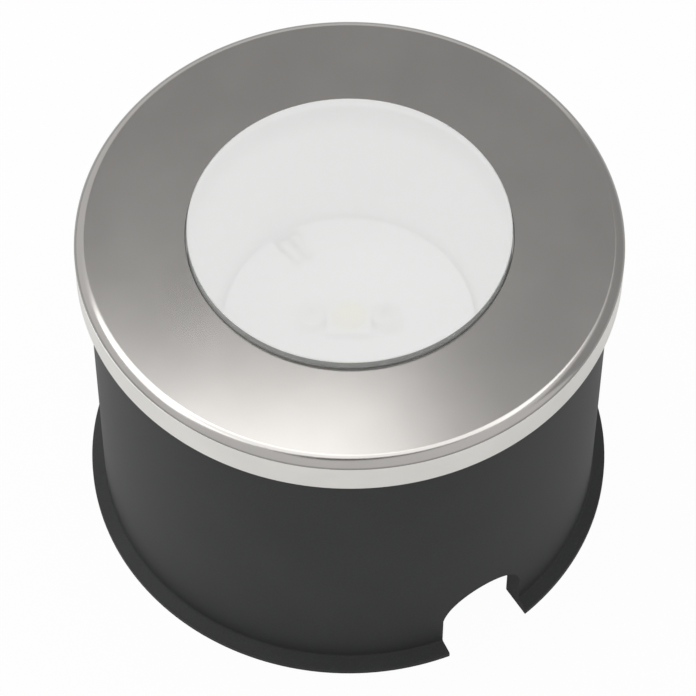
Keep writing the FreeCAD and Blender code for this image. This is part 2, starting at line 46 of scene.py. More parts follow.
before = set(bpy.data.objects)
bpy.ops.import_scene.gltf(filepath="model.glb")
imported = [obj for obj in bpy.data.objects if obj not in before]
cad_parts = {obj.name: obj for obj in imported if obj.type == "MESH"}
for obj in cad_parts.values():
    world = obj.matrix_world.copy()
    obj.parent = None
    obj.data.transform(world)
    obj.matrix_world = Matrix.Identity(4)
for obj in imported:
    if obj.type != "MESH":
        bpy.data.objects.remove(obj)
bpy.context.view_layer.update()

MM = 0.001
FULL_TURN = 2 * math.pi
SAME_LEVEL = 0.02 * MM
MERGE_WITHIN = 0.001 * MM
SMOOTH_UP_TO = math.radians(35)
CROWN_STEPS = 16
ARCH_STEPS = 24
EVEN_SHADING_WEIGHT = 80
SENSOR_WIDTH = 36.0

# The glass's finishes, in the order of its material slots, and how a face's normal tells
# an upright face from a flat one.
# The last finish is a grey coat on the upright face over the plate: painted shade.
POLISHED, GROUND, HAZY, EDGE_PAINTED_SHADE = range(4)
UPRIGHT_UNDER = 0.5
FLAT_OVER = 0.9


# Sizes read from the frame.


def bottom_of(node):
    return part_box(node)[0].z


def top_of(node):
    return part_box(node)[1].z


def radius_of(node):
    """The outer radius of a piece turned about the axis."""
    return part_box(node)[1].x


def radii_at(node, level):
    """The least and greatest distance from the axis of the node's corners at a level."""
    found = [
        math.hypot(v.co.x, v.co.y)
        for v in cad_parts[node].data.vertices
        if abs(v.co.z - level) < SAME_LEVEL
    ]
    if not found:
        raise RuntimeError("node " + node + " has no corner at that level")
    return min(found), max(found)


def radius_under(node, level):
    """The outer radius of what a node has below a level."""
    return max(
        math.hypot(v.co.x, v.co.y)
        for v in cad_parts[node].data.vertices
        if v.co.z < level - SAME_LEVEL
    )


def hole_radius(node):
    """The radius of the clear hole through a ring."""
    return min(math.hypot(v.co.x, v.co.y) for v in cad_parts[node].data.vertices)


# Settings that a user may change.


def length(name, description, default_mm):
    return FloatProperty(
        name=name,
        description=description,
        default=default_mm * MM,
        min=0.0,
        precision=5,
        subtype="DISTANCE",
        unit="LENGTH",
    )


def angle(name, description, default):
    return FloatProperty(
        name=name, description=description, default=default, subtype="ANGLE", unit="ROTATION"
    )


def number(name, description, default):
    return FloatProperty(name=name, description=description, default=default)


def colour(name, description, default):
    return FloatVectorProperty(
        name=name,
        description=description,
        default=default,
        size=3,
        min=0.0,
        max=1.0,
        subtype="COLOR",
    )


class WellLightShape(bpy.types.PropertyGroup):
    """Small sizes that finish the shapes"""

    ring_steps: IntProperty(
        name="Ring steps", description="Facets round a large ring", default=192, min=32
    )
    foot_width: length("Foot width", "How far the sleeve's foot stands out", 1.5)
    foot_edge: length("Foot edge", "Height of the foot's upright edge", 0.8)
    foot_edge_round: length("Foot edge round", "Round on the foot's upper edge", 0.2)
    foot_root: length("Foot root", "Height where the foot meets the wall", 1.5)
    foot_root_round: length("Foot root round", "Round where the foot meets the wall", 0.4)
    mouth_chamfer: length("Mouth chamfer", "Chamfer inside the sleeve's mouth", 0.4)
    notch_width: length("Notch width", "Width of the cable notch", 10.4)
    notch_side: length("Notch side", "Height of the notch's straight sides", 5.7)
    notch_crown: length("Notch crown", "Height of the notch's crown", 9.95)
    rim_top_round: length("Rim top round", "Round on the rim's upper edge", 0.05)
    rim_bottom_round: length("Rim bottom round", "Round on the rim's lower edge", 0.15)
    cap_crown: length("Cap crown", "Width of the arc that falls to the cap's edge", 1.3)
    cap_lip: length("Cap lip", "Height of the cap's upright edge", 0.14)
    cap_lip_round: length("Cap lip round", "Round on the cap's lip", 0.05)
    thread_pitch: length("Thread pitch", "Rise of the cap's thread in one turn", 1.5)
    thread_depth: length("Thread depth", "Depth of the cap's thread", 0.45)
    thread_foot: number("Thread foot", "Half of a ridge's foot as a share of the pitch", 0.36)
    thread_crest: number("Thread crest", "Half of a ridge's crest as a share of the pitch", 0.08)
    thread_end: length("Thread end", "Plain stretch at each end of the thread", 0.3)
    glass_round: length("Glass round", "Round on the glass's edges", 0.15)
    cup_lip: length("Cup lip", "Thickness of the flange of the white cup", 1.0)
    cup_root_round: length("Cup root round", "Round under the cup's flange", 0.2)
    cup_mouth_round: length("Cup mouth round", "Round on the cup's mouth", 0.25)
    fine_round: length("Fine round", "Round on small turned edges", 0.12)


class WellLightFinish(bpy.types.PropertyGroup):
    """Colours of the finishes"""

    cap: colour("Cap", "Satin steel of the cap", (0.415, 0.40, 0.385))
    rim: colour("Rim", "Bright steel of the rim", (0.88, 0.865, 0.825))
    sleeve: colour("Sleeve", "Black plastic of the sleeve", (0.045, 0.046, 0.046))
    housing: colour("Housing", "Turned aluminium", (0.62, 0.62, 0.63))
    reflector: colour("Reflector", "White moulded cup", (0.92, 0.92, 0.91))
    board: colour("Board", "White coat of the light board", (0.90, 0.90, 0.89))
    haze: colour("Haze", "White haze on the glass", (0.93, 0.93, 0.925))
    # The grey of the glass's proud edge is painted shade: the darkness at a clear edge put into its
    # colour.
    glass_edge_painted_shade: colour("Glass edge", "Grey edge of the glass", (0.42, 0.425, 0.42))
    phosphor: colour("Phosphor", "Yellow phosphor of the emitter", (0.90, 0.80, 0.40))
    nylon: colour("Nylon", "Black nylon of pot and gland", (0.050, 0.050, 0.051))
    rubber: colour("Rubber", "Black rubber of rings and gaskets", (0.020, 0.020, 0.020))
    silicone: colour("Silicone", "Milky silicone of the glass seals", (0.80, 0.80, 0.78))
    screws: colour("Screws", "Steel of the small screws", (0.85, 0.84, 0.83))
    leads: colour("Leads", "Pale insulation of the leads", (0.80, 0.78, 0.72))
    pad: colour("Pad", "Grey of the thermal pad", (0.34, 0.36, 0.40))
    circuit: colour("Circuit", "Green coat of the driver board", (0.02, 0.14, 0.05))
    brass: colour("Brass", "Brass of the spacers", (0.60, 0.42, 0.16))
    ferrite: colour("Ferrite", "Dark grey of the inductor", (0.05, 0.05, 0.055))
    capacitor: colour("Capacitor", "Blue-black sleeve of the capacitor", (0.03, 0.035, 0.10))
    chip: colour("Chip", "Black resin of the chips", (0.02, 0.02, 0.021))
    terminal: colour("Terminal", "Grey of the terminal block", (0.13, 0.15, 0.16))


class WellLightStage(bpy.types.PropertyGroup):
    """Camera, lamps and floor"""

    distance: length("Distance", "From the camera to the point it looks at", 418.7)
    elevation: angle("Elevation", "Height of the camera over the horizon", math.radians(55.82))
    azimuth: angle("Azimuth", "Turn of the camera from -Y towards +X", math.radians(-32.6))
    roll: angle("Roll", "Turn of the camera about its line of sight", math.radians(0.33))
    sideways_shift: number("Sideways shift", "Shift to the side, as a share of the width", -0.00135)
    upward_shift: number("Upward shift", "Shift upwards, as a share of the width", -0.00075)
    focal_length: FloatProperty(
        name="Focal length",
        description="Lens in millimetres on a 36 mm sensor",
        default=190.5,
        subtype="DISTANCE_CAMERA",
    )
    look_height: length("Look height", "Height of the point that the camera looks at", 21.56)
    daylight: number("Daylight", "Strength of the plain surroundings", 0.37)
    box_height: length("Box height", "Height of the soft boxes over the floor", 300.0)
    box_turn: angle("Box turn", "Turn of the soft boxes from the camera's line of sight", 0.15)
    card_distance: length("Card distance", "From the origin to the grey cards", 750.0)
    floor_drop: length("Floor drop", "Hair's breadth between the foot and the floor", 0.03)
    floor_reach: length("Floor reach", "From the middle of the floor to its edges", 3000.0)
    floor: colour("Floor", "Pale floor", (0.86, 0.86, 0.86))
    camera_clip: length("Camera clip", "Nearest distance that the camera sees", 10.0)


# Shader maths.


class Value:
    """A number or colour that varies over a surface, to add and multiply like a number."""

    def __init__(self, paint, socket):
        self.paint = paint
        self.socket = socket

    def __add__(self, other):
        return self.paint.math("ADD", self, other)

    def __radd__(self, other):
        return self.paint.math("ADD", other, self)

    def __mul__(self, other):
        return self.paint.math("MULTIPLY", self, other)

    def __rmul__(self, other):
        return self.paint.math("MULTIPLY", other, self)


def bare_material(name):
    """A material with an output alone: the material, its node tree and the output's input."""
    material = bpy.data.materials.new(name)
    material.use_nodes = True
    tree = material.node_tree
    tree.nodes.clear()
    return material, tree, tree.nodes.new("ShaderNodeOutputMaterial").inputs["Surface"]


class Paint:
    """One material: its node tree, its shader and short ways to build on them."""

    def __init__(self, name, colour_now, roughness, metallic=0.0, **constants):
        self.material, self.tree, self.surface = bare_material(name)
        self.shader = self.tree.nodes.new("ShaderNodeBsdfPrincipled")
        self.tree.links.new(self.shader.outputs[0], self.surface)
        self.put("Base Color", colour_now)
        self.put("Roughness", roughness)
        self.put("Metallic", metallic)
        for socket, value in constants.items():
            self.put(socket.replace("_", " "), value)
        coordinates = self.node("ShaderNodeTexCoord", {}, {}, "Object")
        self.place = self.node(
            "ShaderNodeVectorMath", {"operation": "SCALE"}, {0: coordinates, "Scale": 1 / MM}
        )

    def fill(self, socket, value):
        """Give an input a link, a colour or a number."""
        if isinstance(value, Value):
            self.tree.links.new(value.socket, socket)
        elif socket.type == "RGBA" and len(value) == 3:
            socket.default_value = (*value, 1.0)
        else:
            socket.default_value = value

    def put(self, name, value):
        """Set one input of the material's own shader."""
        self.fill(self.shader.inputs[name], value)

    def node(self, kind, settings, inputs, output=0):
        """Add a node: its settings first, then what its inputs hold."""
        made = self.tree.nodes.new(kind)
        for name, value in settings.items():
            setattr(made, name, value)
        for key, value in inputs.items():
            self.fill(made.inputs[key], value)
        return Value(self, made.outputs[output])

    def math(self, operation, first, second=0.0):
        return self.node("ShaderNodeMath", {"operation": operation}, {0: first, 1: second})

    def mix(self, share, first, second):
        """A blend of two colours."""
        mixed = self.tree.nodes.new("ShaderNodeMix")
        mixed.data_type = "RGBA"
        self.fill(mixed.inputs["Factor"], share)
        self.fill(mixed.inputs[6], first)
        self.fill(mixed.inputs[7], second)
        return Value(self, mixed.outputs[2])

    def noise(self, size_mm, detail=2.0, vector=None):
        """Soft noise, from 0 to 1, whose blots are about a size in millimetres."""
        inputs = {"Vector": vector or self.place, "Scale": 1 / size_mm, "Detail": detail}
        return self.node("ShaderNodeTexNoise", {}, inputs, "Fac")

    def stretch(self, value, low, high, to_low=0.0, to_high=1.0):
        """Spread the stretch of a value from low to high over another range."""
        return self.node(
            "ShaderNodeMapRange",
            {"clamp": True},
            {0: value, 1: low, 2: high, 3: to_low, 4: to_high},
        )

    def across(self):
        """The place's X, Y and Z in millimetres."""
        parts = self.tree.nodes.new("ShaderNodeSeparateXYZ")
        self.fill(parts.inputs[0], self.place)
        return [Value(self, output) for output in parts.outputs]

    def round_the_axis(self, squeeze):
        """A place whose noise runs in rings: radius and level full, the turn squeezed."""
        x, y, z = self.across()
        radius = self.math("SQRT", x * x + y * y)
        turn = self.math("ARCTAN2", y, x) * squeeze
        return self.node("ShaderNodeCombineXYZ", {}, {0: radius, 1: turn, 2: z})

    def bump(self, height, strength, depth_mm):
        """Raise the surface by a height from 0 to 1."""
        inputs = {"Strength": strength, "Distance": depth_mm * MM, "Height": height}
        self.put("Normal", self.node("ShaderNodeBump", {}, inputs, "Normal"))

    def tint(self, share, colour_now, darkest, lightest):
        """Vary the base colour between a darker and a lighter version of it."""
        shades = scaled(colour_now, darkest), scaled(colour_now, lightest)
        self.put("Base Color", self.mix(share, *shades))

    def plain_shader(self, kind, colour_now):
        """A shader of one colour, beside the material's own."""
        made = self.tree.nodes.new(kind)
        self.fill(made.inputs["Color"], colour_now)
        return made

    def show_mixed(self, share, first, second):
        """Show a mix of two shaders."""
        mixed = self.tree.nodes.new("ShaderNodeMixShader")
        self.fill(mixed.inputs[0], share)
        self.tree.links.new(first.outputs[0], mixed.inputs[1])
        self.tree.links.new(second.outputs[0], mixed.inputs[2])
        self.tree.links.new(mixed.outputs[0], self.surface)
        return mixed


def scaled(colour_now, factor):
    """A lighter or darker version of a colour."""
    return tuple(min(1.0, part * factor) for part in colour_now)


# Finishes.


def satin_steel(name, colour_now, roughness, anisotropy):
    """Steel finished on a lathe: fine rings, and a soft cloud of wear."""
    paint = Paint(name, colour_now, roughness, 1.0, Anisotropic=anisotropy)
    rings = paint.noise(0.11, vector=paint.round_the_axis(2.0))
    cloud = paint.noise(9.0, detail=3.0)
    paint.tint(paint.stretch(cloud, 0.35, 0.65), colour_now, 0.97, 1.03)
    paint.put("Roughness", roughness - 0.015 + 0.02 * rings + 0.01 * cloud)
    paint.bump(rings, strength=0.05, depth_mm=0.002)
    return paint.material


def turned_aluminium(colour_now):
    """Bare aluminium with the marks of the turning tool."""
    paint = Paint("turned_aluminium", colour_now, 0.32, 1.0, Anisotropic=0.45)
    marks = paint.noise(0.16, vector=paint.round_the_axis(0.8))
    cloud = paint.noise(6.0, detail=3.0)
    paint.tint(cloud, colour_now, 0.9, 1.06)
    paint.put("Roughness", 0.24 + 0.10 * marks + 0.08 * cloud)
    paint.bump(marks, strength=0.3, depth_mm=0.006)
    return paint.material


def moulded_black(name, colour_now, grain_mm, roughness):
    """Black moulded plastic with a fine spark-eroded grain."""
    paint = Paint(name, colour_now, roughness, 0.0, Specular_IOR_Level=0.2)
    grain = paint.noise(grain_mm)
    cloud = paint.noise(11.0, detail=3.0)
    shade = 0.5 * grain + 0.5 * cloud
    paint.tint(paint.stretch(shade, 0.3, 0.7), colour_now, 0.82, 1.22)
    paint.put("Roughness", roughness - 0.06 + 0.07 * grain + 0.07 * cloud)
    paint.bump(grain, strength=0.35, depth_mm=0.02)
    return paint.material


def black_rubber(colour_now):
    """Matt rubber with a little bloom."""
    paint = Paint("black_rubber", colour_now, 0.6, 0.0, Specular_IOR_Level=0.35)
    bloom = paint.noise(2.5, detail=4.0)
    fine = paint.noise(0.12)
    paint.tint(bloom, colour_now, 1.0, 1.9)
    paint.put("Roughness", 0.5 + 0.2 * bloom)
    paint.bump(fine, strength=0.25, depth_mm=0.01)
    return paint.material


def milky_silicone(colour_now):
    """Soft white silicone."""
    paint = Paint("milky_silicone", colour_now, 0.4, 0.0, Specular_IOR_Level=0.4)
    cloud = paint.noise(1.8, detail=3.0)
    paint.tint(cloud, colour_now, 0.95, 1.03)
    paint.put("Roughness", 0.36 + 0.1 * cloud)
    return paint.material


def moulded_white(name, colour_now, roughness):
    """White moulded or coated surface, slightly uneven."""
    paint = Paint(name, colour_now, roughness, 0.0)
    cloud = paint.noise(5.0, detail=3.0)
    fine = paint.noise(0.15)
    paint.tint(cloud, colour_now, 0.985, 1.01)
    paint.put("Roughness", roughness - 0.04 + 0.08 * cloud)
    paint.bump(fine, strength=0.1, depth_mm=0.006)
    return paint.material


def plain_paint(name, colour_now, roughness, metallic=0.0, spread=0.12, blot_mm=1.5):
    """A finish for small inner pieces: one colour with soft variation."""
    paint = Paint(name, colour_now, roughness, metallic)
    cloud = paint.noise(blot_mm, detail=3.0)
    paint.tint(cloud, colour_now, 1 - spread, 1 + spread)
    paint.put("Roughness", roughness - 0.05 + 0.1 * cloud)
    paint.bump(paint.noise(0.1), strength=0.15, depth_mm=0.005)
    return paint.material


def lens_glass(name, haze, haze_and_shade_colour):
    """Glass that lets the lamps reach the cup below it, with a share of a diffuse coat on its face:
    white haze on the top face, grey painted shade on the proud edge.
    """
    paint = Paint(name, (1.0, 1.0, 1.0), 0.0, IOR=1.5, Transmission_Weight=1.0)
    smear = paint.noise(7.0, detail=3.0)
    paint.put("Roughness", paint.stretch(smear, 0.45, 0.8, to_high=0.03))
    # The diffuse coat: white haze on the top face, a grey coat of painted shade on the proud edge.
    haze_and_shade_coat = paint.plain_shader("ShaderNodeBsdfDiffuse", haze_and_shade_colour)
    clear = paint.plain_shader("ShaderNodeBsdfTransparent", (0.97, 0.98, 0.975))
    path = paint.tree.nodes.new("ShaderNodeLightPath")
    shadow = Value(paint, path.outputs["Is Shadow Ray"])
    diffuse = Value(paint, path.outputs["Is Diffuse Ray"])
    hazed_and_shaded = paint.show_mixed(haze + 0.04 * smear, paint.shader, haze_and_shade_coat)
    paint.show_mixed(paint.math("MAXIMUM", shadow, diffuse), hazed_and_shaded, clear)
    return paint.material


def ground_glass():
    """The lens's ground side: frosted, and white where light leaves it."""
    paint = Paint("ground_glass", (0.9, 0.91, 0.9), 0.7)
    grain = paint.noise(0.12)
    paint.put("Base Color", paint.mix(grain, (0.86, 0.87, 0.86), (0.93, 0.94, 0.93)))
    paint.put("Roughness", 0.62 + 0.16 * grain)
    paint.bump(grain, strength=0.3, depth_mm=0.01)
    return paint.material


# Shapes.


def rounded_corner(bm, corner, reach, segments):
    bmesh.ops.bevel(
        bm,
        geom=[corner],
        offset=reach,
        offset_type="OFFSET",
        segments=segments,
        profile=0.5,
        affect="VERTICES",
        material=-1,
    )


def outline(corners, segments=5):
    """A flat face in the XZ plane. A corner is (radius, level, its round, its steps)."""
    bm = bmesh.new()
    points = [bm.verts.new((c[0], 0.0, c[1])) for c in corners]
    bm.faces.new(points)
    bm.faces.ensure_lookup_table()
    places = [p.co.copy() for p in points]
    for i, corner in enumerate(corners):
        if len(corner) > 2:
            back = (places[i - 1] - places[i]).normalized()
            ahead = (places[(i + 1) % len(places)] - places[i]).normalized()
            reach = corner[2] / math.tan(back.angle(ahead) / 2)
            rounded_corner(bm, points[i], reach, corner[3] if len(corner) > 3 else segments)
    return bm


def turned(corners, steps, segments=5):
    """A closed solid of revolution about the axis."""
    bm = outline(corners, segments)
    bmesh.ops.delete(bm, geom=list(bm.faces), context="FACES_ONLY")
    on_axis = [e for e in bm.edges if all(abs(v.co.x) < MERGE_WITHIN for v in e.verts)]
    bmesh.ops.delete(bm, geom=on_axis, context="EDGES_FACES")
    bmesh.ops.spin(
        bm,
        geom=list(bm.verts) + list(bm.edges),
        cent=(0, 0, 0),
        axis=(0, 0, 1),
        dvec=(0, 0, 0),
        angle=FULL_TURN,
        steps=steps,
        use_merge=True,
        use_duplicate=False,
    )
    bmesh.ops.remove_doubles(bm, verts=list(bm.verts), dist=MERGE_WITHIN)
    bmesh.ops.recalc_face_normals(bm, faces=list(bm.faces))
    return bm


def as_object(name, bm):
    mesh = bpy.data.meshes.new(name)
    bm.to_mesh(mesh)
    bm.free()
    made = bpy.data.objects.new(name, mesh)
    bpy.context.scene.collection.objects.link(made)
    return made


def combined(obj, other, operation):
    """Join or cut a piece with another shape, which is used up."""
    tool = as_object("tool", other)
    change = obj.modifiers.new("change", "BOOLEAN")
    change.operation = operation
    change.solver = "EXACT"
    change.object = tool
    seen = obj.evaluated_get(bpy.context.evaluated_depsgraph_get())
    result = bpy.data.meshes.new_from_object(seen)
    obj.modifiers.clear()
    used = obj.data
    obj.data = result
    result.name = obj.name
    bpy.data.meshes.remove(used)
    bpy.data.objects.remove(tool)


def finish_piece(obj, material, body, slot, *nodes):
    """Give a piece its finish and smooth shading, hang it on its body's empty and hide the CAD
    nodes it replaces.
    """
    obj.data.materials.clear()
    obj.data.materials.append(material)
    obj.data.shade_smooth()
    obj.data.set_sharp_from_angle(angle=SMOOTH_UP_TO)
    even = obj.modifiers.new("even_shading", "WEIGHTED_NORMAL")
    even.keep_sharp = True
    even.weight = EVEN_SHADING_WEIGHT
    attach(obj, body)
    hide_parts(*nodes)
    return obj


def dress(node, material):
    """Give a CAD node its finish."""
    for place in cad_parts[node].material_slots:
        place.material = material


def settings(context):
    scene = context.scene
    return scene.well_light_shape, scene.well_light_finish, scene.well_light_stage


# The sleeve.


def notch_outline(shape):
    """The notch seen from the front: straight sides under a round arch."""
    half = shape.notch_width / 2
    rise = shape.notch_crown - shape.notch_side
    radius = (half * half + rise * rise) / (2 * rise)
    centre = shape.notch_crown - radius
    reach = math.asin(half / radius)
    arch = []
    for i in range(ARCH_STEPS + 1):
        turn = reach - 2 * reach * i / ARCH_STEPS
        arch.append((radius * math.sin(turn), centre + radius * math.cos(turn)))
    below = -shape.foot_root
    return [(-half, below), (half, below)] + arch


def notch_cutter(shape, reach):
    bm = bmesh.new()
    face = bm.faces.new([bm.verts.new((x, 0.0, z)) for x, z in notch_outline(shape)])
    grown = bmesh.ops.extrude_face_region(bm, geom=[face])
    moved = [v for v in grown["geom"] if isinstance(v, bmesh.types.BMVert)]
    bmesh.ops.translate(bm, verts=moved, vec=(0, -reach, 0))
    bmesh.ops.recalc_face_normals(bm, faces=list(bm.faces))
    return bm


class WELL_OT_sleeve(bpy.types.Operator):
    """Make the black sleeve with its foot and cable notch"""

    bl_idname = "well_light.sleeve"
    bl_label = "Mounting sleeve"

    def execute(self, context):
        shape, finish, _ = settings(context)
        foot = radius_of("mounting_sleeve")
        outer = foot - shape.foot_width
        bore = hole_radius("mounting_sleeve")
        top = top_of("mounting_sleeve")
        tube = as_object("sleeve_tube", turned([
            (bore, 0.0, shape.fine_round),
            (foot, 0.0, shape.fine_round),
            (foot, shape.foot_edge, shape.foot_edge_round),
            (outer, shape.foot_root, shape.foot_root_round),
            (outer, top, shape.fine_round),
            (bore + shape.mouth_chamfer, top, shape.fine_round),
            (bore, top - shape.mouth_chamfer, shape.fine_round),
        ], shape.ring_steps))
        combined(tube, notch_cutter(shape, 2 * foot), "DIFFERENCE")
        black = moulded_black("sleeve_black", finish.sleeve, grain_mm=0.22, roughness=0.5)
        finish_piece(tube, black, "sleeve", "sleeve_plastic", "mounting_sleeve")
        return {"FINISHED"}


# The rim and the cap.


class WELL_OT_rim(bpy.types.Operator):
    """Make the bright rim ring and dress the gasket under it"""

    bl_idname = "well_light.rim"
    bl_label = "Rim ring and gasket"

    def execute(self, context):
        shape, finish, _ = settings(context)
        low, high = bottom_of("rim_ring"), top_of("rim_ring")
        outer, bore = radius_of("rim_ring"), hole_radius("rim_ring")
        band = as_object("rim_band", turned([
            (bore, low),
            (outer, low, shape.rim_bottom_round),
            (outer, high, shape.rim_top_round),
            (bore, high),
        ], shape.ring_steps))
        bright = satin_steel("rim_steel", finish.rim, roughness=0.3, anisotropy=0.2)
        finish_piece(band, bright, "light", "rim_stainless", "rim_ring")
        dress("rim_gasket", black_rubber(finish.rubber))
        return {"FINISHED"}


def thread_ridge(shape, crest, bottom, top):
    """A ridge that climbs round the cap's skirt like a screw."""
    root = crest - shape.thread_depth
    half_foot = shape.thread_foot * shape.thread_pitch
    half_crest = shape.thread_crest * shape.thread_pitch
    middle = bottom + half_foot
    bm = bmesh.new()
    inside = root - shape.thread_depth
    corners = [
        (inside, middle - half_foot),
        (root, middle - half_foot),
        (crest, middle - half_crest),
        (crest, middle + half_crest),
        (root, middle + half_foot),
        (inside, middle + half_foot),
    ]
    bm.faces.new([bm.verts.new((r, 0.0, z)) for r, z in corners])
    turns = (top - bottom - 2 * half_foot) / shape.thread_pitch
    steps = int(turns * shape.ring_steps)
    bmesh.ops.spin(
        bm,
        geom=list(bm.verts) + list(bm.edges) + list(bm.faces),
        cent=(0, 0, 0),
        axis=(0, 0, 1),
        dvec=(0, 0, shape.thread_pitch / shape.ring_steps),
        angle=FULL_TURN * steps / shape.ring_steps,
        steps=steps,
        use_merge=False,
        use_duplicate=False,
    )
    bmesh.ops.recalc_face_normals(bm, faces=list(bm.faces))
    return bm


def cap_crown(shape, edge, fall):
    """The corner and the radius of the arc that falls from the flat top to the lip."""
    slope = 2 * math.atan(fall / shape.cap_crown)
    radius = shape.cap_crown / math.sin(slope)
    return edge - shape.cap_crown + radius * math.tan(slope / 2), radius


class WELL_OT_cap(bpy.types.Operator):
    """Make the satin cap with its window, skirt and thread"""

    bl_idname = "well_light.cap"
    bl_label = "Bezel cap"

    def execute(self, context):
        shape, finish, _ = settings(context)
        top, skirt_end = top_of("bezel_cap"), bottom_of("bezel_cap")
        under = top_of("cap_gasket")
        window, edge = hole_radius("bezel_cap"), radius_of("bezel_cap")
        skirt_bore = radii_at("bezel_cap", skirt_end)[0]
        crest = radius_under("bezel_cap", under)
        root = crest - shape.thread_depth
        crown_corner, crown = cap_crown(shape, edge, top - under - shape.cap_lip)
        plate = as_object("cap_plate", turned([
            (window, under, shape.fine_round),
            (window, top, shape.fine_round),
            (crown_corner, top, crown, CROWN_STEPS),
            (edge, under + shape.cap_lip, shape.cap_lip_round),
            (edge, under, shape.cap_lip_round),
            (root, under),
            (root, skirt_end, shape.fine_round),
            (skirt_bore, skirt_end, shape.fine_round),
            (skirt_bore, under),
        ], shape.ring_steps))
        low, high = skirt_end + shape.thread_end, under - shape.thread_end
        ridge = thread_ridge(shape, crest, low, high)
        combined(plate, ridge, "UNION")
        satin = satin_steel("cap_steel", finish.cap, roughness=0.175, anisotropy=0.0)
        finish_piece(plate, satin, "cap", "cap_stainless", "bezel_cap")
        return {"FINISHED"}


# The glass, its seals and the cup.


def lens_finish(face, plate):
    """Which of the glass's finishes a face takes, by how it stands to the plate's top."""
    over = face.center.z > plate
    if abs(face.normal.z) < UPRIGHT_UNDER:
        # An upright face over the plate takes the grey coat of painted shade.
        return EDGE_PAINTED_SHADE if over else GROUND
    return HAZY if over and face.normal.z > FLAT_OVER else POLISHED


class WELL_OT_glass(bpy.types.Operator):
    """Make the stepped glass and dress its two seals"""

    bl_idname = "well_light.glass"
    bl_label = "Glass and seals"

    def execute(self, context):
        shape, finish, _ = settings(context)
        low, high = bottom_of("glass_lens"), top_of("glass_lens")
        step = bottom_of("cap_gasket")
        flange = radius_of("glass_lens")
        boss = radii_at("glass_lens", step)[0]
        plate = top_of("bezel_cap")
        lens = as_object("lens", turned([
            (0.0, low),
            (flange, low, shape.glass_round),
            (flange, step, shape.glass_round),
            (boss, step),
            (boss, plate),
            (boss, high, shape.glass_round),
            (0.0, high),
        ], shape.ring_steps))
        polished = lens_glass("lens_glass", haze=0.0, haze_and_shade_colour=finish.haze)
        finish_piece(lens, polished, "light", "lens_glass", "glass_lens")
        hazy = lens_glass("hazy_glass", haze=0.81, haze_and_shade_colour=finish.haze)
        # The proud upright edge takes a grey coat: painted shade where the clear edge looks dark.
        edge = lens_glass("glass_edge_painted_shade", haze=0.7, haze_and_shade_colour=finish.glass_edge_painted_shade)
        for other in (ground_glass(), hazy, edge):
            lens.data.materials.append(other)
        for face in lens.data.polygons:
            face.material_index = lens_finish(face, plate)
        seal = milky_silicone(finish.silicone)
        dress("cap_gasket", seal)
        dress("seat_gasket", seal)
        return {"FINISHED"}


class WELL_OT_reflector(bpy.types.Operator):
    """Make the white cup under the glass"""

    bl_idname = "well_light.reflector"
    bl_label = "Reflector cup"

    def execute(self, context):
        shape, finish, _ = settings(context)
        low, high = bottom_of("reflector_cup"), top_of("reflector_cup")
        floor_in, floor_out = radii_at("reflector_cup", low)
        mouth_in, flange = radii_at("reflector_cup", high)
        wall = floor_out - floor_in
        shoulder = high - shape.cup_lip
        cup = as_object("reflector", turned([
            (floor_in, low, shape.fine_round),
            (floor_out, low, shape.fine_round),
            (mouth_in + wall, shoulder, shape.cup_root_round),
            (flange, shoulder, shape.fine_round),
            (flange, high, shape.fine_round),
            (mouth_in, high, shape.cup_mouth_round),
        ], shape.ring_steps))
        white = moulded_white("reflector_white", finish.reflector, 0.35)
        finish_piece(cup, white, "light", "reflector_white", "reflector_cup")
        return {"FINISHED"}


class WELL_OT_light_source(bpy.types.Operator):
    """Dress the light board, its emitter, its screws and its leads"""

    bl_idname = "well_light.light_source"
    bl_label = "Light source"

    def execute(self, context):
        _, finish, _ = settings(context)
        dress("led_board", moulded_white("board_white", finish.board, 0.4))
        dress("thermal_pad", plain_paint("pad_grey", finish.pad, 0.6))
        dress("led_package", moulded_white("package_white", finish.board, 0.3))
        dress("led_phosphor", plain_paint("phosphor_yellow", finish.phosphor, 0.45, spread=0.05))
        dress("led_screws", plain_paint("screw_steel", finish.screws, 0.3, metallic=1.0))
        insulation = plain_paint("lead_insulation", finish.leads, 0.45, spread=0.05)
        dress("lead_positive", insulation)
        dress("lead_negative", insulation)
        return {"FINISHED"}


# The housing and what hangs under it.


class WELL_OT_housing(bpy.types.Operator):
    """Dress the finned housing and its grip rings"""

    bl_idname = "well_light.housing"
    bl_label = "Housing and grip rings"

    def execute(self, context):
        _, finish, _ = settings(context)
        dress("light_housing", turned_aluminium(finish.housing))
        dress("grip_rings", black_rubber(finish.rubber))
        return {"FINISHED"}


class WELL_OT_driver(bpy.types.Operator):
    """Dress the driver's pot, its board and its parts"""

    bl_idname = "well_light.driver"
    bl_label = "Driver and pot"

    def execute(self, context):
        _, finish, _ = settings(context)
        steel = plain_paint("pot_screw_steel", finish.screws, 0.3, metallic=1.0)
        dress("driver_pot", moulded_black("pot_nylon", finish.nylon, grain_mm=0.3, roughness=0.5))
        dress("pot_gasket", black_rubber(finish.rubber))
        dress("pot_screws", steel)
        dress("driver_screws", steel)
        dress("driver_board", plain_paint("board_green", finish.circuit, 0.35))
        dress("board_spacers", plain_paint("spacer_brass", finish.brass, 0.3, metallic=1.0))
        dress("inductor", plain_paint("ferrite_grey", finish.ferrite, 0.6))
        dress("capacitor", plain_paint("capacitor_sleeve", finish.capacitor, 0.35))
        chip = plain_paint("chip_black", finish.chip, 0.5)
        dress("rectifier", chip)
        dress("driver_chip", chip)
        dress("terminal_block", plain_paint("terminal_grey", finish.terminal, 0.45))
        return {"FINISHED"}


